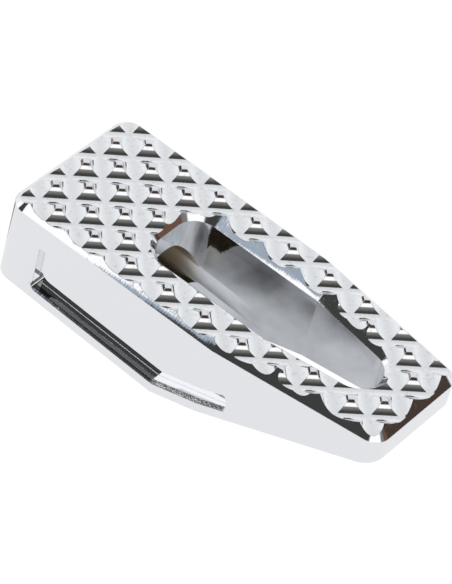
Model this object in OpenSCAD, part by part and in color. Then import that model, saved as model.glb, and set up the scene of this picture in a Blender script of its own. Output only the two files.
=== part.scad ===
// Rear brake pedal: the toe pad of a motorbike's rear brake, one chromed billet.
// The boot presses the diamond tread on top. The brake lever's round end goes
// into the bore in the wide end, and the window through the pad saves weight.
//
// What is square to the tread is drawn in the tread's own axes: x runs from the
// wide end to the narrow end, y goes across the pad, and z = 0 is the plane of
// the tread's tops. The finished pad is then tipped by the rake, which brings the
// flat of its underside and the bore level. The origin is the centre of the
// bore's mouth in the wide end.

/* [Body] */
// Length of the pad along the tread
pad_length = 86; // [83:0.5:110]
// Width across the parallel sides
pad_width = 35.7; // [32:0.1:45]
// Width of the narrow end, measured to its sharp corners
toe_width = 25.8; // [20:0.1:31]
// Length of the parallel sides, from the wide end to where they turn inwards
straight_length = 50.3; // [40:0.1:65]
// Radius of the four upright corners
corner_r = 3.8; // [3.4:0.1:6]
// Height of the wide end, square to the tread
heel_height = 20.4; // [18:0.1:26]
// Height of the narrow end, square to the tread
toe_height = 7.7; // [5:0.1:12]
// Length of the underside's flat, along the tread, before it rises to the toe
flat_length = 39.9; // [32:0.1:50]
// Angle between the tread and the underside's flat, in degrees
rake = 2.7; // [0:0.1:6]

/* [Bevels] */
// Bevel round the outside of the tread, at 45 degrees
edge_bevel = 2.5; // [0.5:0.1:3.2]
// Bevel round the window's upper edge, at 45 degrees
window_bevel = 2.5; // [0.5:0.1:3.2]

/* [Tread] */
// Distance between one groove and the next
tread_pitch = 6.35; // [5:0.05:9]
// Width of the square flat left on top of each point
tread_land = 1.1; // [0.4:0.1:2]
// Depth of the round-bottomed grooves
tread_depth = 1.7; // [0.8:0.1:2.2]
// Distance from the wide end to the first point on the centre line
tread_start = 4.1; // [0:0.1:8]

/* [Window] */
// Distance from the wide end to the window
window_start = 25.5; // [20:0.1:28]
// Length of the window
window_length = 50.8; // [44:0.1:53]
// Width across the window's parallel sides
window_width = 15.4; // [12:0.1:17]
// Length of the window's parallel sides, corners included
window_straight = 30.2; // [20:0.1:36]
// Radius of the window's two corners at the wide end
window_corner_r = 5.1; // [2:0.1:5.8]
// Radius of the window's round narrow end
window_end_r = 5.35; // [3:0.05:5.8]

/* [Bore] */
// Diameter of the bore for the brake lever
bore_d = 15.9; // [14:0.1:17]
// Height of the bore's axis above the underside's flat
bore_height = 5.9; // [5.6:0.1:10]
// Depth that the bore is cut to, through the wide end and on past the window
bore_length = 46; // [32:0.5:60]

/* [Side groove] */
// Depth of the groove in each flank
groove_depth = 2.5; // [0.8:0.1:3.5]
// Width of the plain land between the groove and the underside
groove_rise = 2.5; // [1.5:0.1:5]
// Height of the groove's long level run
level_run_height = 4.3; // [2.5:0.1:6]
// Height of the groove's rising run towards the toe
rising_run_height = 3.4; // [2.2:0.1:5]
// Length of the rising run, from the bend to its end
rising_run_length = 17.5; // [8:0.1:26]
// Distance from the wide end to the groove's upright run
upright_start = 9.1; // [5:0.1:14]
// Width of the upright run
upright_width = 1.8; // [1.4:0.1:4]
// Height of the upright run's top above the underside's flat
upright_height = 12.9; // [9:0.1:15]
// Radius of the groove's own corners
groove_corner_r = 0.6; // [0.2:0.1:0.7]
// Radius where the upright run opens into the level run
groove_blend_r = 2.4; // [0.8:0.1:4]
// Bevel along the groove's lips, at 45 degrees
groove_lip = 0.5; // [0.1:0.1:0.8]

/* [Hidden] */
$fn = 96;

// Straight steps in each small arc of the side groove
arc_steps = 6;

// How far a cutter stands clear of the surface that it cuts
clear = 1;

// How much deeper the bevels go on the tapered sides, so that they cross those of
// the parallel sides in a clean edge
bevel_step = 0.02;

// How far the window's round end stands out past the sides that run into it, and
// how many degrees it runs on under them, so that they cross in a clean edge
end_step = 0.02;
end_past = 12;

// Underside, seen from the side in the tread's axes as [x, z]
heel = [0, -heel_height];
bend = [flat_length, -heel_height - flat_length * tan(rake)];
toe = [pad_length, -toe_height];
rise = atan2(toe.y - bend.y, toe.x - bend.x);
flat_up = [sin(rake), cos(rake)];
rise_along = [cos(rise), sin(rise)];
rise_up = [-sin(rise), cos(rise)];

// Flanks, seen from above
half_width = pad_width / 2;
half_toe = toe_width / 2;
taper = atan2(half_width - half_toe, pad_length - straight_length);

// Grooves of the tread are part of a circle between two lands
tread_half_gap = (tread_pitch - tread_land) / 2;
tread_r = (tread_half_gap * tread_half_gap + tread_depth * tread_depth) / (2 * tread_depth);

// Centre of the bore's mouth, in the tread's axes
mouth_z = -heel_height + bore_height / cos(rake);

// Colour of the chrome
chrome = [0.86, 0.87, 0.89];

// Point that lies off_flat above the flat and off_rise above the rising face
function off_both(off_flat, off_rise) =
    let (turn = flat_up.x * rise_up.y - flat_up.y * rise_up.x)
    bend + [off_flat * rise_up.y - off_rise * flat_up.y,
            off_rise * flat_up.x - off_flat * rise_up.x] / turn;

// Height of a line that runs at a distance off above the flat, at the place x
function above_flat(x, off) = -heel_height - x * tan(rake) + off / cos(rake);

// Angle of the outward normal of the line that touches circles a and b
function touch_angle(a, b) =
    let (d = [b.x - a.x, b.y - a.y])
    atan2(d.y, d.x) - 90 + asin((a[2] - b[2]) / norm(d));

// Where that line touches circle c
function touch_point(c, angle) = [c.x + c[2] * cos(angle), c.y + c[2] * sin(angle)];

// A pocket whose outline goes round circles [x, y, r, out], anticlockwise, with a
// 45 degree lip. The surface is at z = 0 and the pocket goes down from it. Side i
// runs from circle i to the next and has the lip lips[i]. Each round corner is a
// turned sector between two sides of equal lip, and stands out past them by out.
module pocket(circles, depth, lips) {
    count = len(circles);
    touched = [for (c = circles) [c.x, c.y, c[2] - c[3]]];
    angles = [for (i = [0 : count - 1]) touch_angle(touched[i], touched[(i + 1) % count])];
    outline = [
        for (i = [0 : count - 1])
            for (end = [0, 1])
                touch_point(touched[(i + end) % count], angles[i])
    ];
    translate([0, 0, -depth])
        linear_extrude(depth + clear)
            polygon(outline);
    for (i = [0 : count - 1]) {
        last = (i + count - 1) % count;
        past = circles[i][3] > 0 ? end_past : 0;
        pocket_lip(touched, angles, i, lips[i], 0);
        if (circles[i][2] > 0)
            pocket_corner(circles[i], angles[last] - past, angles[i] + past, depth, lips[i]);
        else
            intersection() {
                pocket_lip(touched, angles, last, lips[last], lips[last]);
                pocket_lip(touched, angles, i, lips[i], lips[i]);
            }
    }
}

// Lip along side i of a pocket, run on by past at both ends
module pocket_lip(circles, angles, i, lip, past) {
    from = touch_point(circles[i], angles[i]);
    to = touch_point(circles[(i + 1) % len(circles)], angles[i]);
    translate([from.x, from.y, 0])
        rotate([0, 0, angles[i] + 90])
            translate([-past, 0, 0])
                rotate([90, 0, 90])
                    linear_extrude(norm(to - from) + 2 * past)
                        polygon([[lip / 2, -lip], [0, -lip], [-lip - clear, clear], [lip / 2, clear]]);
}

// Wall and lip round one corner circle, from one side's angle to the next
module pocket_corner(circle, before, after, depth, lip) {
    r = circle[2];
    translate([circle.x, circle.y, 0])
        rotate([0, 0, before])
            rotate_extrude(angle = (after - before + 720) % 360)
                polygon([[0, -depth], [r, -depth], [r, -lip], [r + lip + clear, clear], [0, clear]]);
}

// Plan of the pad with sharp corners, from the wide end to the narrow end
module plan() {
    polygon([
        [0, -half_width], [straight_length, -half_width], [pad_length, -half_toe],
        [pad_length, half_toe], [straight_length, half_width], [0, half_width]
    ]);
}

// Side view of the pad: level tread on top, flat and rising face below
module side_view() {
    polygon([[0, 0], heel, bend, toe, [pad_length, 0]]);
}

// Billet with the outline of the pad from above and from the side
module blank() {
    intersection() {
        translate([0, 0, -heel_height - pad_length])
            linear_extrude(heel_height + pad_length)
                plan();
        rotate([90, 0, 0])
            linear_extrude(2 * pad_width, center = true)
                side_view();
    }
}

// What rounds one upright corner, and its bevel above. The corner is at v, and
// a and b are the directions of its two sides, seen from above.
module corner_cutter(v, a, b) {
    turn = abs(a.x * b.y - a.y * b.x);
    centre = v + (a + b) * corner_r / turn;
    reach = corner_r * (1 + a * b) / turn;
    outward = -(a + b) / norm(a + b) * 2 * clear;
    bottom = -heel_height - pad_length;
    difference() {
        translate([0, 0, bottom])
            linear_extrude(clear - bottom)
                polygon([centre, v + a * reach, v + a * reach + outward, v + outward * 2,
                         v + b * reach + outward, v + b * reach]);
        translate([centre.x, centre.y, 0])
            rotate_extrude()
                polygon([[0, bottom - clear], [corner_r, bottom - clear], [corner_r, -edge_bevel],
                         [corner_r - edge_bevel, 0], [corner_r - edge_bevel, 2 * clear], [0, 2 * clear]]);
    }
}

// What cuts a bevel of one size along one side, from p to q with the pad on the left
module bevel_cutter(p, q, size) {
    run = q - p;
    translate([p.x, p.y, 0])
        rotate([0, 0, atan2(run.y, run.x)])
            translate([-pad_width, 0, 0])
                rotate([90, 0, 90])
                    linear_extrude(norm(run) + 2 * pad_width)
                        polygon([[size + clear, clear], [-clear, clear], [-clear, -size - clear]]);
}

// Outer bevel and rounded corners
module outer_edges() {
    side = [-cos(taper), sin(taper)];
    tapered = edge_bevel + bevel_step;
    bevel_cutter([0, half_width], [0, -half_width], edge_bevel);
    bevel_cutter([pad_length, -half_toe], [pad_length, half_toe], edge_bevel);
    bevel_cutter([0, -half_width], [straight_length, -half_width], edge_bevel);
    bevel_cutter([straight_length, half_width], [0, half_width], edge_bevel);
    bevel_cutter([straight_length, -half_width], [pad_length, -half_toe], tapered);
    bevel_cutter([pad_length, half_toe], [straight_length, half_width], tapered);
    for (s = [-1, 1]) {
        corner_cutter([0, s * half_width], [1, 0], [0, -s]);
        corner_cutter([pad_length, s * half_toe], [side.x, s * side.y], [0, -s]);
    }
}

// One family of parallel round-bottomed grooves, at an angle across the tread
module tread_family(angle) {
    first = floor(-(tread_start + half_width) / sqrt(2) / tread_pitch);
    last = ceil((pad_length - tread_start + half_width) / sqrt(2) / tread_pitch);
    translate([tread_start, 0, tread_r - tread_depth])
        rotate([0, 0, angle])
            for (k = [first : last])
                translate([(k + 0.5) * tread_pitch, 0, 0])
                    rotate([90, 0, 0])
                        cylinder(h = 2 * pad_length, r = tread_r, center = true);
}

// Window through the pad, with its bevel
module window() {
    half = window_width / 2;
    far = window_start + window_straight;
    near = window_start + window_corner_r;
    end = window_start + window_length - window_end_r;
    side = half - window_corner_r;
    tapered = window_bevel + bevel_step;
    pocket(
        [
            [near, -side, window_corner_r, 0], [far, -half, 0, 0], [end, 0, window_end_r, end_step],
            [far, half, 0, 0], [near, side, window_corner_r, 0]
        ],
        heel_height + pad_length * tan(rake) + clear,
        [window_bevel, tapered, tapered, window_bevel, window_bevel]
    );
}

// Bore for the brake lever, level with the flat of the underside
module lever_bore() {
    translate([0, 0, mouth_z])
        rotate([0, 90 + rake, 0])
            translate([0, 0, -bore_d])
                cylinder(h = bore_length + bore_d, d = bore_d);
}

// Outline of one flank's groove, anticlockwise, with y as height
function groove_outline() =
    let (r = groove_corner_r,
         left = upright_start,
         right = upright_start + upright_width,
         level_top = groove_rise + level_run_height,
         low = off_both(groove_rise, groove_rise),
         high = off_both(level_top, groove_rise + rising_run_height),
         tip = low + rise_along * rising_run_length,
         tip_low = tip + (rise_up - rise_along) * r,
         tip_high = tip + rise_up * (rising_run_height - r) - rise_along * r,
         top = above_flat(left, upright_height),
         blend_y = above_flat(right + groove_blend_r, level_top + groove_blend_r / cos(rake)))
    concat(
        arc([left + r, above_flat(left + r, groove_rise + r)], r, 180, 270 - rake),
        [low],
        arc(tip_low, r, rise - 90, rise),
        arc(tip_high, r, rise, rise + 90),
        [high],
        arc([right + groove_blend_r, blend_y], groove_blend_r, 270 - rake, 180),
        arc([right - r, top - r], r, 0, 90),
        arc([left + r, top - r], r, 90, 180)
    );

// Points along an arc of a circle, ends included
function arc(centre, r, from, to) =
    [for (i = [0 : arc_steps]) centre + r * [cos(from + (to - from) * i / arc_steps),
                                             sin(from + (to - from) * i / arc_steps)]];

// Groove of one flank, drawn flat with its surface at z = 0
module side_groove() {
    translate([0, 0, -groove_depth])
        linear_extrude(groove_depth + clear)
            polygon(groove_outline());
    low = off_both(groove_rise, groove_rise);
    lip_cutter([upright_start + groove_corner_r, above_flat(upright_start + groove_corner_r, groove_rise)], low);
    lip_cutter(low, low + rise_along * (rising_run_length - groove_corner_r));
    lip_cutter([upright_start, above_flat(upright_start, upright_height) - groove_corner_r],
               [upright_start, above_flat(upright_start, groove_rise) + groove_corner_r]);
}

// Bevel along one straight lip, from p to q with the groove on the left
module lip_cutter(p, q) {
    run = q - p;
    translate([p.x, p.y, 0])
        rotate([0, 0, atan2(run.y, run.x)])
            rotate([90, 0, 90])
                linear_extrude(norm(run))
                    polygon([[groove_lip / 2, -groove_lip], [0, -groove_lip],
                             [-groove_lip - clear, clear], [groove_lip / 2, clear]]);
}

// The same groove in both flanks
module flank_grooves() {
    for (s = [0, 1])
        mirror([0, s, 0])
            translate([0, -half_width, 0])
                rotate([90, 0, 0])
                    side_groove();
}

// The pad in the tread's axes
module pad() {
    difference() {
        blank();
        outer_edges();
        window();
        lever_bore();
        flank_grooves();
        tread_family(45);
        tread_family(-45);
    }
}

// The pad with its underside level and its origin at the bore's mouth
module brake_pedal() {
    color(chrome)
        rotate([0, -rake, 0])
            translate([0, 0, -mouth_z])
                pad();
}

brake_pedal();
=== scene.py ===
# %% [markdown]
# # Rear brake pedal
# The toe pad of a motorbike's rear brake: one aluminium billet, milled to a
# diamond tread, pierced by a window, grooved along its flanks and chromed all
# over. There is a single piece and a single finish, so the whole look rests on
# clean edges and on what the chrome sees around it.

import math

import bmesh
import bpy
from mathutils import Matrix, Vector


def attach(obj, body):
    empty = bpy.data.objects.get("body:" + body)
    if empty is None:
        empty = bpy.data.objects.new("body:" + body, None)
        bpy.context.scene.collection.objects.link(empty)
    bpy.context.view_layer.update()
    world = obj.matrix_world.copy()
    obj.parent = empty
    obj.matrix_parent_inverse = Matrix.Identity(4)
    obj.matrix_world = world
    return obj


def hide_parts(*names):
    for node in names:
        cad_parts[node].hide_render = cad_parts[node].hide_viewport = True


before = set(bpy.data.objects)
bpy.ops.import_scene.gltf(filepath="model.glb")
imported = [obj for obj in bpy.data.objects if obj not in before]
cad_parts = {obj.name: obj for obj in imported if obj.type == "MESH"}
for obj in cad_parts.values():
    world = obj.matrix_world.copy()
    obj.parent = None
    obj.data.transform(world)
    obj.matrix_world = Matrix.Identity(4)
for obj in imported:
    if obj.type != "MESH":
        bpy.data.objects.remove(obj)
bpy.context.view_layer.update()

# %% [markdown]
# ## Camera
# A camera can be aimed with an empty and a tracking constraint, or placed by
# hand. Here its place and its three axes are written down, because the tread's
# straight rows of points fix them well: the rows vanish to two points, and the
# bevels give the third direction. A long lens from three quarters of a metre
# keeps the rows almost parallel.

# %% Camera
MM = 0.001
CAMERA_AT = Vector((271.8, -495.16, 571.32)) * MM
CAMERA_RIGHT = Vector((0.75407, 0.61484, 0.23096))
CAMERA_DOWN = Vector((0.58654, -0.47216, -0.65805))
CAMERA_AHEAD = Vector((-0.29555, 0.63169, -0.71667))
SENSOR_MM = 36.0
LENS_MM = 256.97
NEAREST, FARTHEST = 0.01, 20.0

lens = bpy.data.cameras.new("camera")
lens.sensor_fit = "AUTO"
lens.sensor_width = SENSOR_MM
lens.lens = LENS_MM
lens.clip_start, lens.clip_end = NEAREST, FARTHEST
camera = bpy.data.objects.new("camera", lens)
bpy.context.collection.objects.link(camera)
turn = Matrix((CAMERA_RIGHT, -CAMERA_DOWN, -CAMERA_AHEAD)).transposed()
camera.matrix_world = Matrix.Translation(CAMERA_AT) @ turn.to_4x4()
bpy.context.scene.camera = camera
bpy.context.scene.view_settings.view_transform = "Standard"
print("camera at", [round(v, 4) for v in CAMERA_AT], "lens", LENS_MM)

# %% [markdown]
# ## Measures
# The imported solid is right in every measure, but a mirror shows each of its
# coarse facets. A subdivision surface would round the crisp edges away, so the
# pad is cut once more from the same measures, with much finer steps. Lengths are
# in millimetres along the tread: x from the wide end, y across, z from the tops.

# %% Measures
LENGTH, WIDTH, TOE_WIDTH, STRAIGHT = 86.0, 35.7, 25.8, 50.3
CORNER_R, EDGE_BEVEL = 3.8, 2.5
HEEL, TOE, FLAT = 20.4, 7.7, 39.9
RAKE = math.radians(2.7)
PITCH, LAND, TREAD_DEPTH, TREAD_START = 6.35, 1.1, 1.7, 4.1
WINDOW_START, WINDOW_LENGTH, WINDOW_WIDTH, WINDOW_STRAIGHT = 25.5, 50.8, 15.4, 30.2
WINDOW_CORNER_R, WINDOW_END_R, WINDOW_BEVEL = 5.1, 5.35, 2.5
BORE_D, BORE_HEIGHT, BORE_LENGTH = 15.9, 5.9, 46.0
GROOVE_DEPTH, GROOVE_LIP = 2.5, 0.5
CLEAR, PAST, DEEP = 1.0, 5.0, 60.0

half = WIDTH / 2
mouth_z = -HEEL + BORE_HEIGHT / math.cos(RAKE)
print("bore mouth", round(mouth_z, 3), "below the tread")

# %% [markdown]
# ## From points to a closed solid
# Most of the cutters are lofts: a row of outlines, each joined to the next, with
# a cap at either end. One function makes them all, and a second joins, cuts or
# crops two solids. Booleans ask for closed meshes, which a loft always is.


# %% Solids and cuts
def in_triangles(mesh):
    """Splits a mesh's faces into triangles."""
    shape = bmesh.new()
    shape.from_mesh(mesh)
    bmesh.ops.triangulate(shape, faces=shape.faces)
    shape.to_mesh(mesh)
    shape.free()


def solid(name, points, faces):
    """Makes an object from points and faces."""
    mesh = bpy.data.meshes.new(name)
    mesh.from_pydata(points, [], faces)
    in_triangles(mesh)
    thing = bpy.data.objects.new(name, mesh)
    bpy.context.collection.objects.link(thing)
    return thing


def loft(name, rings):
    """A closed solid through outlines of equal count, anticlockwise seen from the last."""
    count = len(rings[0])
    faces = [tuple(range(count))[::-1]]
    for k in range(len(rings) - 1):
        low, high = k * count, (k + 1) * count
        for i in range(count):
            j = (i + 1) % count
            faces.append((low + i, low + j, high + j, high + i))
    top = (len(rings) - 1) * count
    faces.append(tuple(range(top, top + count)))
    return solid(name, [p for ring in rings for p in ring], faces)


def combine(body, operation, tool):
    """Changes a body by a tool, which is then thrown away."""
    change = body.modifiers.new(tool.name, "BOOLEAN")
    change.operation = operation
    change.solver = "EXACT"
    change.object = tool
    graph = bpy.context.evaluated_depsgraph_get()
    result = bpy.data.meshes.new_from_object(body.evaluated_get(graph))
    in_triangles(result)
    body.modifiers.clear()
    body.data = result
    bpy.data.objects.remove(tool)


# %% [markdown]
# ## Outlines with round corners
# Seen from above, the pad and its window are both made of circles with straight
# sides that touch them. An outline is kept as its circles, so that a bevel is no
# more than the same outline with larger or smaller circles at another height.


# %% Outlines
CORNER_STEPS = 24


def touch(a, b):
    """Angle of the outward normal of the line that touches circles a and b."""
    dx, dy = b[0] - a[0], b[1] - a[1]
    lean = math.asin((a[2] - b[2]) / math.hypot(dx, dy))
    return math.atan2(dy, dx) - math.pi / 2 + lean


def outline(circles, grow, z):
    """Points round circles (x, y, r), anticlockwise, each circle grown by the same."""
    count = len(circles)
    normals = [touch(circles[i], circles[(i + 1) % count]) for i in range(count)]
    points = []
    for i, (x, y, r) in enumerate(circles):
        before = normals[i - 1]
        sweep = (normals[i] - before) % math.tau
        steps = CORNER_STEPS if r > 0 else 1
        for s in range(steps + (r > 0)):
            if r > 0:
                angle, reach = before + sweep * s / steps, r + grow
            else:
                angle, reach = before + sweep / 2, grow / math.cos(sweep / 2)
            points.append((x + reach * math.cos(angle), y + reach * math.sin(angle), z))
    return points


# %% [markdown]
# ## Outline and underside
# The billet is a loft of three rings, which carry the bevel, cropped by the side
# view, drawn once and run across. Modelling it face by face would work too, but
# a loft keeps each measure in one place.

# %% Billet
taper = math.atan2((WIDTH - TOE_WIDTH) / 2, LENGTH - STRAIGHT)
corner_in = CORNER_R * (1 - math.sin(taper)) / math.cos(taper)
wide = (CORNER_R, half - CORNER_R)
narrow = (LENGTH - CORNER_R, TOE_WIDTH / 2 - corner_in)
pad_circles = [
    (wide[0], -wide[1], CORNER_R),
    (STRAIGHT, -half, 0),
    (narrow[0], -narrow[1], CORNER_R),
    (narrow[0], narrow[1], CORNER_R),
    (STRAIGHT, half, 0),
    (wide[0], wide[1], CORNER_R),
]
pad = loft(
    "brake_pedal_chrome",
    [
        outline(pad_circles, 0, -DEEP + CLEAR),
        outline(pad_circles, 0, -EDGE_BEVEL),
        outline(pad_circles, -EDGE_BEVEL - CLEAR, CLEAR),
    ],
)

bend = (FLAT, -HEEL - FLAT * math.tan(RAKE))
slope = (-TOE - bend[1]) / (LENGTH - FLAT)
side_view = [
    (-PAST, -HEEL + PAST * math.tan(RAKE)),
    bend,
    (LENGTH + PAST, -TOE + PAST * slope),
    (LENGTH + PAST, PAST),
    (-PAST, PAST),
]
combine(
    pad,
    "INTERSECT",
    loft("side_view", [[(x, y, z) for x, z in side_view] for y in (WIDTH, -WIDTH)]),
)
print("billet", len(pad.data.polygons), "faces")

# %% [markdown]
# ## Window and bore
# The window is a loft like the outline, but its bevel opens upwards. The bore is
# a plain cylinder, level with the underside, and it breaks through that side
# because its axis lies less than a radius above it.

# %% Window and bore
turn_x = WINDOW_START + WINDOW_STRAIGHT
corner_y = WINDOW_WIDTH / 2 - WINDOW_CORNER_R
window_circles = [
    (WINDOW_START + WINDOW_CORNER_R, -corner_y, WINDOW_CORNER_R),
    (turn_x, -WINDOW_WIDTH / 2, 0),
    (WINDOW_START + WINDOW_LENGTH - WINDOW_END_R, 0, WINDOW_END_R),
    (turn_x, WINDOW_WIDTH / 2, 0),
    (WINDOW_START + WINDOW_CORNER_R, corner_y, WINDOW_CORNER_R),
]
combine(
    pad,
    "DIFFERENCE",
    loft(
        "window",
        [
            outline(window_circles, 0, -DEEP / 2),
            outline(window_circles, 0, -WINDOW_BEVEL),
            outline(window_circles, WINDOW_BEVEL + CLEAR, CLEAR),
        ],
    ),
)

BORE_STEPS = 128
rings = []
for reach in (-PAST, BORE_LENGTH):
    ring = []
    for s in range(BORE_STEPS):
        angle = math.tau * s / BORE_STEPS
        up = BORE_D / 2 * math.sin(angle)
        ring.append(
            (
                reach * math.cos(RAKE) + up * math.sin(RAKE),
                BORE_D / 2 * math.cos(angle),
                mouth_z - reach * math.sin(RAKE) + up * math.cos(RAKE),
            )
        )
    rings.append(ring)
combine(pad, "DIFFERENCE", loft("bore", rings))
print("with window and bore", len(pad.data.polygons), "faces")

# %% [markdown]
# ## Side grooves
# Each flank carries a square-cut groove in the shape of a hockey stick: an
# upright run near the wide end, a long level run, and a rising run towards the
# toe. Its outline is drawn flat on the flank and pushed in, and three prisms
# break the sharp lips.

# %% Groove outline
GROOVE_RISE, LEVEL_RUN, RISING_RUN, RISING_LENGTH = 2.5, 4.3, 3.4, 17.5
UPRIGHT_START, UPRIGHT_WIDTH, UPRIGHT_HEIGHT = 9.1, 1.8, 12.9
GROOVE_R, BLEND_R = 0.6, 2.4
GROOVE_STEPS = 12

rise = math.atan2(-TOE - bend[1], LENGTH - FLAT)
flat_up = Vector((math.sin(RAKE), math.cos(RAKE)))
rise_up = Vector((-math.sin(rise), math.cos(rise)))
rise_along = Vector((math.cos(rise), math.sin(rise)))


def off_both(off_flat, off_rise):
    """The point that far above the flat and that far above the rising face."""
    spread = flat_up.x * rise_up.y - flat_up.y * rise_up.x
    return Vector(bend) + Vector(
        (
            (off_flat * rise_up.y - off_rise * flat_up.y) / spread,
            (off_rise * flat_up.x - off_flat * rise_up.x) / spread,
        )
    )


def above_flat(x, off):
    """Height at x of a line that runs above the flat."""
    return -HEEL - x * math.tan(RAKE) + off / math.cos(RAKE)


def arc(centre, r, start, end):
    """Points along an arc, ends included."""
    angles = [start + (end - start) * s / GROOVE_STEPS for s in range(GROOVE_STEPS + 1)]
    return [Vector(centre) + r * Vector((math.cos(a), math.sin(a))) for a in angles]


quarter = math.pi / 2
left, right = UPRIGHT_START, UPRIGHT_START + UPRIGHT_WIDTH
level_top = GROOVE_RISE + LEVEL_RUN
low_bend = off_both(GROOVE_RISE, GROOVE_RISE)
high_bend = off_both(level_top, GROOVE_RISE + RISING_RUN)
tip = low_bend + rise_along * RISING_LENGTH
top = above_flat(left, UPRIGHT_HEIGHT)
blend_x = right + BLEND_R
low_left = (left + GROOVE_R, above_flat(left + GROOVE_R, GROOVE_RISE + GROOVE_R))
tip_low = tip + (rise_up - rise_along) * GROOVE_R
tip_high = tip + rise_up * (RISING_RUN - GROOVE_R) - rise_along * GROOVE_R
inner_bend = (blend_x, above_flat(blend_x, level_top + BLEND_R / math.cos(RAKE)))
stick = [
    *arc(low_left, GROOVE_R, 2 * quarter, 3 * quarter - RAKE),
    low_bend,
    *arc(tip_low, GROOVE_R, rise - quarter, rise),
    *arc(tip_high, GROOVE_R, rise, rise + quarter),
    high_bend,
    *arc(inner_bend, BLEND_R, 3 * quarter - RAKE, 2 * quarter),
    *arc((right - GROOVE_R, top - GROOVE_R), GROOVE_R, 0, quarter),
    *arc((left + GROOVE_R, top - GROOVE_R), GROOVE_R, quarter, 2 * quarter),
]
level_start = Vector((left + GROOVE_R, above_flat(left + GROOVE_R, GROOVE_RISE)))
upright_top = Vector((left, top - GROOVE_R))
upright_foot = Vector((left, above_flat(left, GROOVE_RISE) + GROOVE_R))
lips = [
    (level_start, low_bend),
    (low_bend, low_bend + rise_along * (RISING_LENGTH - GROOVE_R)),
    (upright_top, upright_foot),
]
print("groove outline", len(stick), "points")

# %% Groove cuts
for side in (-1, 1):
    # the outline is anticlockwise from the near side, so the far loft is turned round
    depths = (GROOVE_DEPTH, -CLEAR)
    rings = [[(x, side * (half - d), z) for x, z in stick] for d in depths]
    if side > 0:
        rings.reverse()
    combine(pad, "DIFFERENCE", loft("groove", rings))
    for start, end in lips:
        run = (end - start).normalized()
        inward = Vector((-run.y, run.x))
        section = [
            (GROOVE_LIP / 2, -GROOVE_LIP),
            (0, -GROOVE_LIP),
            (-GROOVE_LIP - CLEAR, CLEAR),
            (GROOVE_LIP / 2, CLEAR),
        ]
        rings = []
        for at in (start, end):
            flat = [(at + inward * a, b) for a, b in section]
            rings.append([(p.x, side * (half + b), p.y) for p, b in flat])
        if side < 0:
            rings.reverse()
        combine(pad, "DIFFERENCE", loft("lip", rings))
print("with side grooves", len(pad.data.polygons), "faces")

# %% [markdown]
# ## Diamond tread
# Two families of parallel round-bottomed grooves cross at right angles, and what
# they leave is a field of four-sided points with small flat tops. Cutting them
# one by one would be slow and would leave slivers. A grid that follows both
# families is exact: its height is the lower of the two grooves, and each square
# where they cross is split along the crease. With a skirt and a bottom it is a
# closed solid, and what it shares with the billet is the finished pad.

# %% Tread
ARC_STEPS = 24
FIRST_GROOVE, LAST_GROOVE = -3, 11

gap = (PITCH - LAND) / 2
groove_r = (gap * gap + TREAD_DEPTH * TREAD_DEPTH) / (2 * TREAD_DEPTH)
swing = math.asin(gap / groove_r)

lines = []
for k in range(FIRST_GROOVE, LAST_GROOVE + 1):
    for s in range(ARC_STEPS + 1):
        angle = swing * (2 * s / ARC_STEPS - 1)
        drop = groove_r - TREAD_DEPTH - groove_r * math.cos(angle)
        if s in (0, ARC_STEPS):
            drop = 0.0
        lines.append(((k + 0.5) * PITCH + groove_r * math.sin(angle), drop, s))

count = len(lines)
root2 = math.sqrt(2)
points = []
for u, deep_u, _ in lines:
    for v, deep_v, _ in lines:
        x, y = TREAD_START + (u + v) / root2, (u - v) / root2
        points.append((x, y, min(deep_u, deep_v)))
faces = []
for i in range(count - 1):
    for j in range(count - 1):
        a, b = i * count + j, i * count + j + 1
        d, c = a + count, b + count
        s, t = lines[i][2], lines[j][2]
        if s == t and s < ARC_STEPS:
            faces += [(a, b, c), (a, c, d)]
        elif s + t == ARC_STEPS - 1:
            faces += [(a, b, d), (b, c, d)]
        else:
            faces.append((a, b, c, d))
rim = [i * count for i in range(count)]
rim += [(count - 1) * count + j for j in range(1, count)]
rim += [i * count + count - 1 for i in range(count - 2, -1, -1)]
rim += list(range(count - 2, 0, -1))
low = len(points)
points += [(points[i][0], points[i][1], -DEEP) for i in rim]
middle = len(points)
points.append((LENGTH / 2, 0.0, -DEEP))
for n in range(len(rim)):
    m = (n + 1) % len(rim)
    faces.append((rim[n], rim[m], low + m, low + n))
    faces.append((low + n, low + m, middle))
combine(pad, "INTERSECT", solid("tread", points, faces))
print("tread grid", count, "x", count, "leaves", len(pad.data.polygons), "faces")

# %% [markdown]
# ## Into place
# Everything so far lies along the tread. Tipping it by the rake brings the
# underside and the bore level, and the bore's mouth to the origin. Edges sharper
# than a few degrees stay crisp, and the normals are weighted by face area, so
# that the long flat faces stay flat in the mirror.

# %% Placing and shading
CREASE = math.radians(8.0)

to_origin = Matrix.Translation((0, 0, -mouth_z))
pad.data.transform(Matrix.Scale(MM, 4) @ Matrix.Rotation(-RAKE, 4, "Y") @ to_origin)
shape = bmesh.new()
shape.from_mesh(pad.data)
for edge in shape.edges:
    edge.smooth = edge.calc_face_angle(0.0) < CREASE
for face in shape.faces:
    face.smooth = True
shape.to_mesh(pad.data)
shape.free()
weigh = pad.modifiers.new("weigh_normals", "WEIGHTED_NORMAL")
weigh.mode = "FACE_AREA"
weigh.keep_sharp = True
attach(pad, "root")
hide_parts("brake_pedal")
print("pad in place", [round(v / MM, 2) for v in pad.dimensions])

# %% [markdown]
# ## A short way to write node maths
# Nodes can be added and linked one at a time, but a formula then takes a page.
# A small class that wraps a socket lets the maths read as maths: `1 - mask`
# adds the Math node it needs. Every other node comes from one function.


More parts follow.
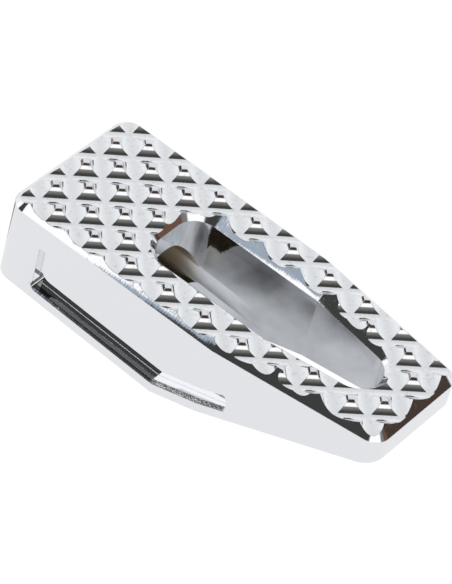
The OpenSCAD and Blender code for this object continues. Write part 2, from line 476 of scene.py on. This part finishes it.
# %% Node maths
class Wire:
    """An output socket that takes part in Python expressions."""

    def __init__(self, tree, socket):
        self.tree = tree
        self.socket = socket

    def math(self, operation, *others):
        return self.node("ShaderNodeMath", {"operation": operation}, [self, *others])

    def node(self, kind, settings=None, inputs=None, out=0):
        return make_node(self.tree, kind, settings, inputs, out)

    def split(self):
        """The x, y and z of a vector, each as a wire."""
        first = self.node("ShaderNodeSeparateXYZ", None, [self])
        return [Wire(self.tree, socket) for socket in first.socket.node.outputs]

    def __add__(self, other):
        return self.math("ADD", other)

    def __radd__(self, other):
        return self.math("ADD", other)

    def __sub__(self, other):
        return self.math("SUBTRACT", other)

    def __rsub__(self, other):
        return self.node("ShaderNodeMath", {"operation": "SUBTRACT"}, [other, self])

    def __mul__(self, other):
        return self.math("MULTIPLY", other)

    def __rmul__(self, other):
        return self.math("MULTIPLY", other)

    def __truediv__(self, other):
        return self.math("DIVIDE", other)

    def __abs__(self):
        return self.math("ABSOLUTE")


def make_node(tree, kind, settings=None, inputs=None, out=0):
    """Adds a node, first its settings, then its sockets, and wraps an output."""
    node = tree.nodes.new(kind)
    for name, value in (settings or {}).items():
        setattr(node, name, value)
    pairs = inputs.items() if isinstance(inputs, dict) else enumerate(inputs or [])
    for key, value in pairs:
        if isinstance(value, Wire):
            tree.links.new(value.socket, node.inputs[key])
        else:
            node.inputs[key].default_value = value
    return Wire(tree, node.outputs[out]) if node.outputs else None


def step(value, low, high):
    """A soft step from 0 at low to 1 at high, or down where low is above high."""
    ends = (0.0, 1.0) if low < high else (1.0, 0.0)
    return value.node(
        "ShaderNodeMapRange",
        {"interpolation_type": "SMOOTHSTEP"},
        [value, min(low, high), max(low, high), *ends],
    )


def blend(tree, factor, first, second):
    """Mixes two colours by a factor."""
    sockets = {0: factor, 6: first, 7: second}
    return make_node(tree, "ShaderNodeMix", {"data_type": "RGBA"}, sockets, out=2)


def noise(tree, vector, scale, detail):
    """Cloudy noise, whose scale counts features a metre."""
    sockets = {"Vector": vector, "Scale": scale, "Detail": detail}
    return make_node(tree, "ShaderNodeTexNoise", None, sockets)


# %% [markdown]
# ## The room
# Chrome has almost no colour of its own, so the room makes the picture. It could
# be lit with real soft boxes, but the world shader does the same job for a small
# object: each patch of colour is a card or a gap of the studio, placed by
# direction. A patch is a mask, made of soft steps along a few fixed directions.

# %% Directions
world = bpy.data.worlds.new("studio")
bpy.context.scene.world = world
world.use_nodes = True
tree = world.node_tree
tree.nodes.clear()
direction = make_node(tree, "ShaderNodeTexCoord", out=0)


def along(axis):
    """How far the direction of view points along an axis, from -1 to 1."""
    return direction.node(
        "ShaderNodeVectorMath", {"operation": "DOT_PRODUCT"}, [direction, axis], out=1
    )


def card(middle, half_width, half_height, edge):
    """An upright rectangular card, as a mask, by its middle and its half sizes."""
    centre = Vector(middle).normalized()
    side = Vector(UP).cross(centre).normalized()
    depth = along(centre)
    across = abs(along(side) / depth)
    high = abs(along(centre.cross(side)) / depth)
    mask = step(across, half_width + edge, half_width - edge)
    mask = mask * step(high, half_height + edge, half_height - edge)
    return mask * step(depth, 0.0, 0.05)


UP = (0.0, 0.0, 1.0)
LEFT, FRONT = (-1.0, 0.0, 0.0), (0.0, -1.0, 0.0)
BEHIND, BEHIND_LEFT = (-0.26, 0.965, 0.0), (-0.8, 0.6, 0.0)
FRONT_RIGHT, BACK_RIGHT = (0.707, -0.707, 0.0), (0.707, 0.707, 0.0)
WARM_SIDE = (0.74, 0.67, 0.0)

# %% [markdown]
# ## Cards and gaps
# A pale sweep stands behind and to the left, and lights the flats of the tread.
# The ceiling is a dark gap with some haze towards the front right, which gives
# each groove its graded dark band, and the white card there gives the bright
# band above it. At the front left a strip of daylight meets a white card, low
# down, so that the near bevel turns from white to blue-grey along its length.
# A warm card at the back right tints the bevel at the window's wide end.

# %% Room
GAP = (0.050, 0.052, 0.050, 1.0)
HAZE = (0.22, 0.22, 0.20, 1.0)
RED = (0.065, 0.036, 0.036, 1.0)
UMBER = (0.065, 0.045, 0.036, 1.0)
BROWN = (0.16, 0.085, 0.06, 1.0)
SWEEP_LOW = (0.93, 0.94, 0.95, 1.0)
SWEEP_HIGH = (0.74, 0.75, 0.76, 1.0)
BRIGHT = (1.15, 1.15, 1.15, 1.0)
DAYLIGHT = (0.36, 0.42, 0.50, 1.0)
WHITE = (1.0, 1.0, 1.0, 1.0)
LEAN, LEAN_AT = 3.0, 0.6

climb = along(UP)
over = along(FRONT_RIGHT)
front = step(along(FRONT), 0.10, 0.20)
aside = along(LEFT) / along(FRONT)
slant = aside - (climb - LEAN_AT) * LEAN
front_low = front * step(climb, 0.655, 0.635)
beside = step(along(BACK_RIGHT), -0.4, -0.1)
warm = step(along(WARM_SIDE), 0.78, 0.84) * step(climb, 0.58, 0.50)
sweep = blend(tree, step(climb, 0.2, 1.0), SWEEP_LOW, SWEEP_HIGH)

patches = [
    (beside * step(over, 0.76, 0.80), RED),
    (step(along(BEHIND), 0.40, 0.46), sweep),
    (step(along(BEHIND_LEFT), 0.50, 0.56), sweep),
    (front_low * step(aside, 0.450, 0.466), DAYLIGHT),
    (front_low * step(slant, 0.486, 0.500), BRIGHT),
    (front * step(aside, 0.62, 0.66) * step(climb, 0.40, 0.43), GAP),
    (card((0.65, -0.35, 0.68), 0.45, 0.24, 0.08), BRIGHT),
    (warm * step(climb, 0.15, 0.25), UMBER),
    (warm * step(climb, 0.335, 0.355), BROWN),
    (step(climb, 0.0, -0.02), SWEEP_LOW),
]
colour = blend(tree, beside * step(over, -0.15, 0.50), GAP, HAZE)
for mask, tint in patches:
    colour = blend(tree, mask, colour, tint)

seen_by_camera = make_node(tree, "ShaderNodeLightPath", out="Is Camera Ray")
room = make_node(tree, "ShaderNodeBackground", None, [colour, 1.0])
backdrop = make_node(tree, "ShaderNodeBackground", None, [WHITE, 1.0])
shown = make_node(tree, "ShaderNodeMixShader", None, [seen_by_camera, room, backdrop])
make_node(tree, "ShaderNodeOutputWorld", None, [shown])
print("room nodes:", len(tree.nodes))

# %% [markdown]
# ## The floor
# A plain pale sheet carries the pad. A small part of it is lit like anything
# else, so it keeps a soft shadow round the pad, and the rest is light of its own
# for the camera and for reflections. In the reflections alone, a strip of it from
# under the window towards the wide end and on past it carries painted shade: it
# is darker, cloudy, and warm from the bore on. That is painted to agree with the
# photograph. The painted shade goes into the colour of the light, whose strength
# stays 1.

# %% Floor
FLOOR_HALF = 3.0
OWN_LIGHT = 0.88
PAPER = (0.86, 0.86, 0.86, 1.0)
COOL, COOLER = (0.985, 0.99, 1.0, 1.0), (0.92, 0.95, 1.0, 1.0)
OLIVE = (1.0, 0.86, 0.64, 1.0)

sheet = bpy.data.meshes.new("floor")
corners = [(-1, -1), (1, -1), (1, 1), (-1, 1)]
spread = [(x * FLOOR_HALF, y * FLOOR_HALF, -BORE_HEIGHT * MM) for x, y in corners]
sheet.from_pydata(spread, [], [(0, 1, 2, 3)])
floor = bpy.data.objects.new("floor", sheet)
bpy.context.collection.objects.link(floor)

paper = bpy.data.materials.new("pale_floor")
paper.use_nodes = True
tree = paper.node_tree
tree.nodes.clear()
camera_ray, glossy, through = [
    make_node(tree, "ShaderNodeLightPath", out=name)
    for name in ("Is Camera Ray", "Is Glossy Ray", "Is Transmission Ray")
]
spot = make_node(tree, "ShaderNodeTexCoord", out=3)
spot_x, spot_y, _ = spot.split()
inside = step(abs(spot_y), 0.013, 0.009) * step(spot_x, 0.082, 0.070)
near_corner = step(spot_y + spot_x * 0.4, 0.0165, 0.0085)
under_bore = inside * step(spot_x, 0.030, 0.018)
clouds = noise(tree, spot, 130.0, 2.0)
# painted shade on the floor, seen only in reflections
shade = inside * (near_corner * 0.42 + 0.12 + clouds * 0.52)
bright = (camera_ray * 0.15 + 0.95) * (1.0 - shade * glossy)
# cool tints of the painted shade, and a warm one under the bore, for reflections alone
tone = blend(tree, inside * glossy, COOL, COOLER)
tone = blend(tree, under_bore * glossy, tone, OLIVE)
tone = blend(tree, camera_ray, tone, WHITE)
scaled = {"Vector": tone, "Scale": bright}
tone = make_node(tree, "ShaderNodeVectorMath", {"operation": "SCALE"}, scaled)
glow = make_node(tree, "ShaderNodeEmission", None, [tone, 1.0])
matt = make_node(tree, "ShaderNodeBsdfDiffuse", None, [PAPER])
share = (camera_ray + glossy + through) * OWN_LIGHT
paper_seen = make_node(tree, "ShaderNodeMixShader", None, [share, matt, glow])
make_node(tree, "ShaderNodeOutputMaterial", None, [paper_seen])
sheet.materials.append(paper)

# %% [markdown]
# ## Where shade is painted on the chrome
# The bore and the lower wall of the side groove get painted shade, darker in
# colour, and the bore is rougher too. These places could be painted as a vertex
# colour, but they follow from the measures, so the shader works them out from
# the place on the pad. The tread gets masks of its own for its specks.

# %% Places on the pad
chrome = bpy.data.materials.new("bright_chrome")
chrome.use_nodes = True
tree = chrome.node_tree
tree.nodes.clear()
place = make_node(tree, "ShaderNodeTexCoord", out=3)
at_x, at_y, at_z = place.split()
tread_x = at_x * math.cos(RAKE) + at_z * math.sin(RAKE)
tread_z = at_z * math.cos(RAKE) - at_x * math.sin(RAKE) + mouth_z * MM
on_tread = step(tread_z, -0.0020, -0.0017)

bore_r = BORE_D / 2 * MM
radial = (at_y * at_y + at_z * at_z).math("SQRT")
in_bore = step(radial, bore_r + 0.00017, bore_r + 0.00010) * step(at_x, 0.030, 0.024)

level_wall_z = (GROOVE_RISE - BORE_HEIGHT) * MM
from_bend_x = tread_x - low_bend.x * MM
from_bend_z = tread_z - low_bend.y * MM
above_rise = from_bend_x * rise_up.x + from_bend_z * rise_up.y
up_rise = from_bend_x * rise_along.x + from_bend_z * rise_along.y
past_straight = (tread_x - STRAIGHT * MM).math("MAXIMUM", 0.0)
outward = abs(at_y) + past_straight * math.tan(taper)
level_wall = (
    step(abs(at_z - level_wall_z), 0.00016, 0.00010)
    * step(at_x, 0.0095, 0.0098)
    * step(outward, 0.0163, 0.0165)
    * step(up_rise, 0.0002, -0.0002)
)
rise_wall = (
    step(abs(above_rise + 0.0001), 0.00050, 0.00042)
    * step(up_rise, -0.0002, 0.0002)
    * step(outward, 0.0168, 0.0170)
    * step(up_rise, 0.0170, 0.0165)
)

# %% [markdown]
# ## Chrome
# The plating is a mirror, but not a perfect one. The cutter's marks survive the
# polishing as a faint ripple and chatter, and the tread has fine specks. They
# are a Bump node's job, because they are far smaller than any face of the mesh.
# Real edges are never quite sharp, so a Bevel node rounds them by 0.14 mm in the
# shading alone, which gives the thin bright lines along them.

# %% Chrome
PLATING, SPECK = (0.88, 0.89, 0.91, 1.0), (0.72, 0.73, 0.75, 1.0)
# painted shade colours: a warm brown for the bore, near black for the groove's lower walls
BORE_SHADE_COLOUR, GROOVE_SHADE_COLOUR = (0.30, 0.26, 0.20, 1.0), (0.06, 0.062, 0.06, 1.0)
EDGE_ROUNDING = 0.14 * MM

ripple = noise(tree, place, 260.0, 2.0)
specks = noise(tree, place, 1300.0, 3.0)
grain = noise(tree, place, 5200.0, 2.0)
waves = {"Scale": 520.0, "Distortion": 1.5, "Detail": 2.0, "Detail Scale": 3.0}
chatter = make_node(
    tree,
    "ShaderNodeTexWave",
    {"wave_type": "BANDS", "bands_direction": "X"},
    {"Vector": place, **waves},
    out=1,
)
spots = step(specks, 0.54, 0.70) * on_tread
# painted shade on the lower walls of the side groove, broken up by grain on the rising run
groove_shade = level_wall * 0.95 + rise_wall * (1.0 - step(grain, 0.50, 0.62) * 0.75)

height = ripple * 0.5 + chatter * 0.014 + specks * 0.10
rounded = make_node(tree, "ShaderNodeBevel", {"samples": 4}, {"Radius": EDGE_ROUNDING})
relief = make_node(
    tree,
    "ShaderNodeBump",
    None,
    {"Strength": 0.06, "Distance": 0.5 * MM, "Height": height, "Normal": rounded},
)
rough = ripple * 0.04 + spots * 0.12 + in_bore * 0.22 + 0.03
plating = blend(tree, spots * 0.7, PLATING, SPECK)
# painted shade in the bore: its colour turns dark and warm brown
plating = blend(tree, in_bore * 0.85, plating, BORE_SHADE_COLOUR)
# painted shade on the groove's lower walls
plating = blend(tree, groove_shade * 0.92, plating, GROOVE_SHADE_COLOUR)
surface = make_node(
    tree,
    "ShaderNodeBsdfPrincipled",
    None,
    {"Base Color": plating, "Metallic": 1.0, "Roughness": rough, "Normal": relief},
)
make_node(tree, "ShaderNodeOutputMaterial", None, [surface])
pad.data.materials.clear()
pad.data.materials.append(chrome)
for face in pad.data.polygons:
    face.material_index = 0
print("chrome on", pad.name, "faces", len(pad.data.polygons))
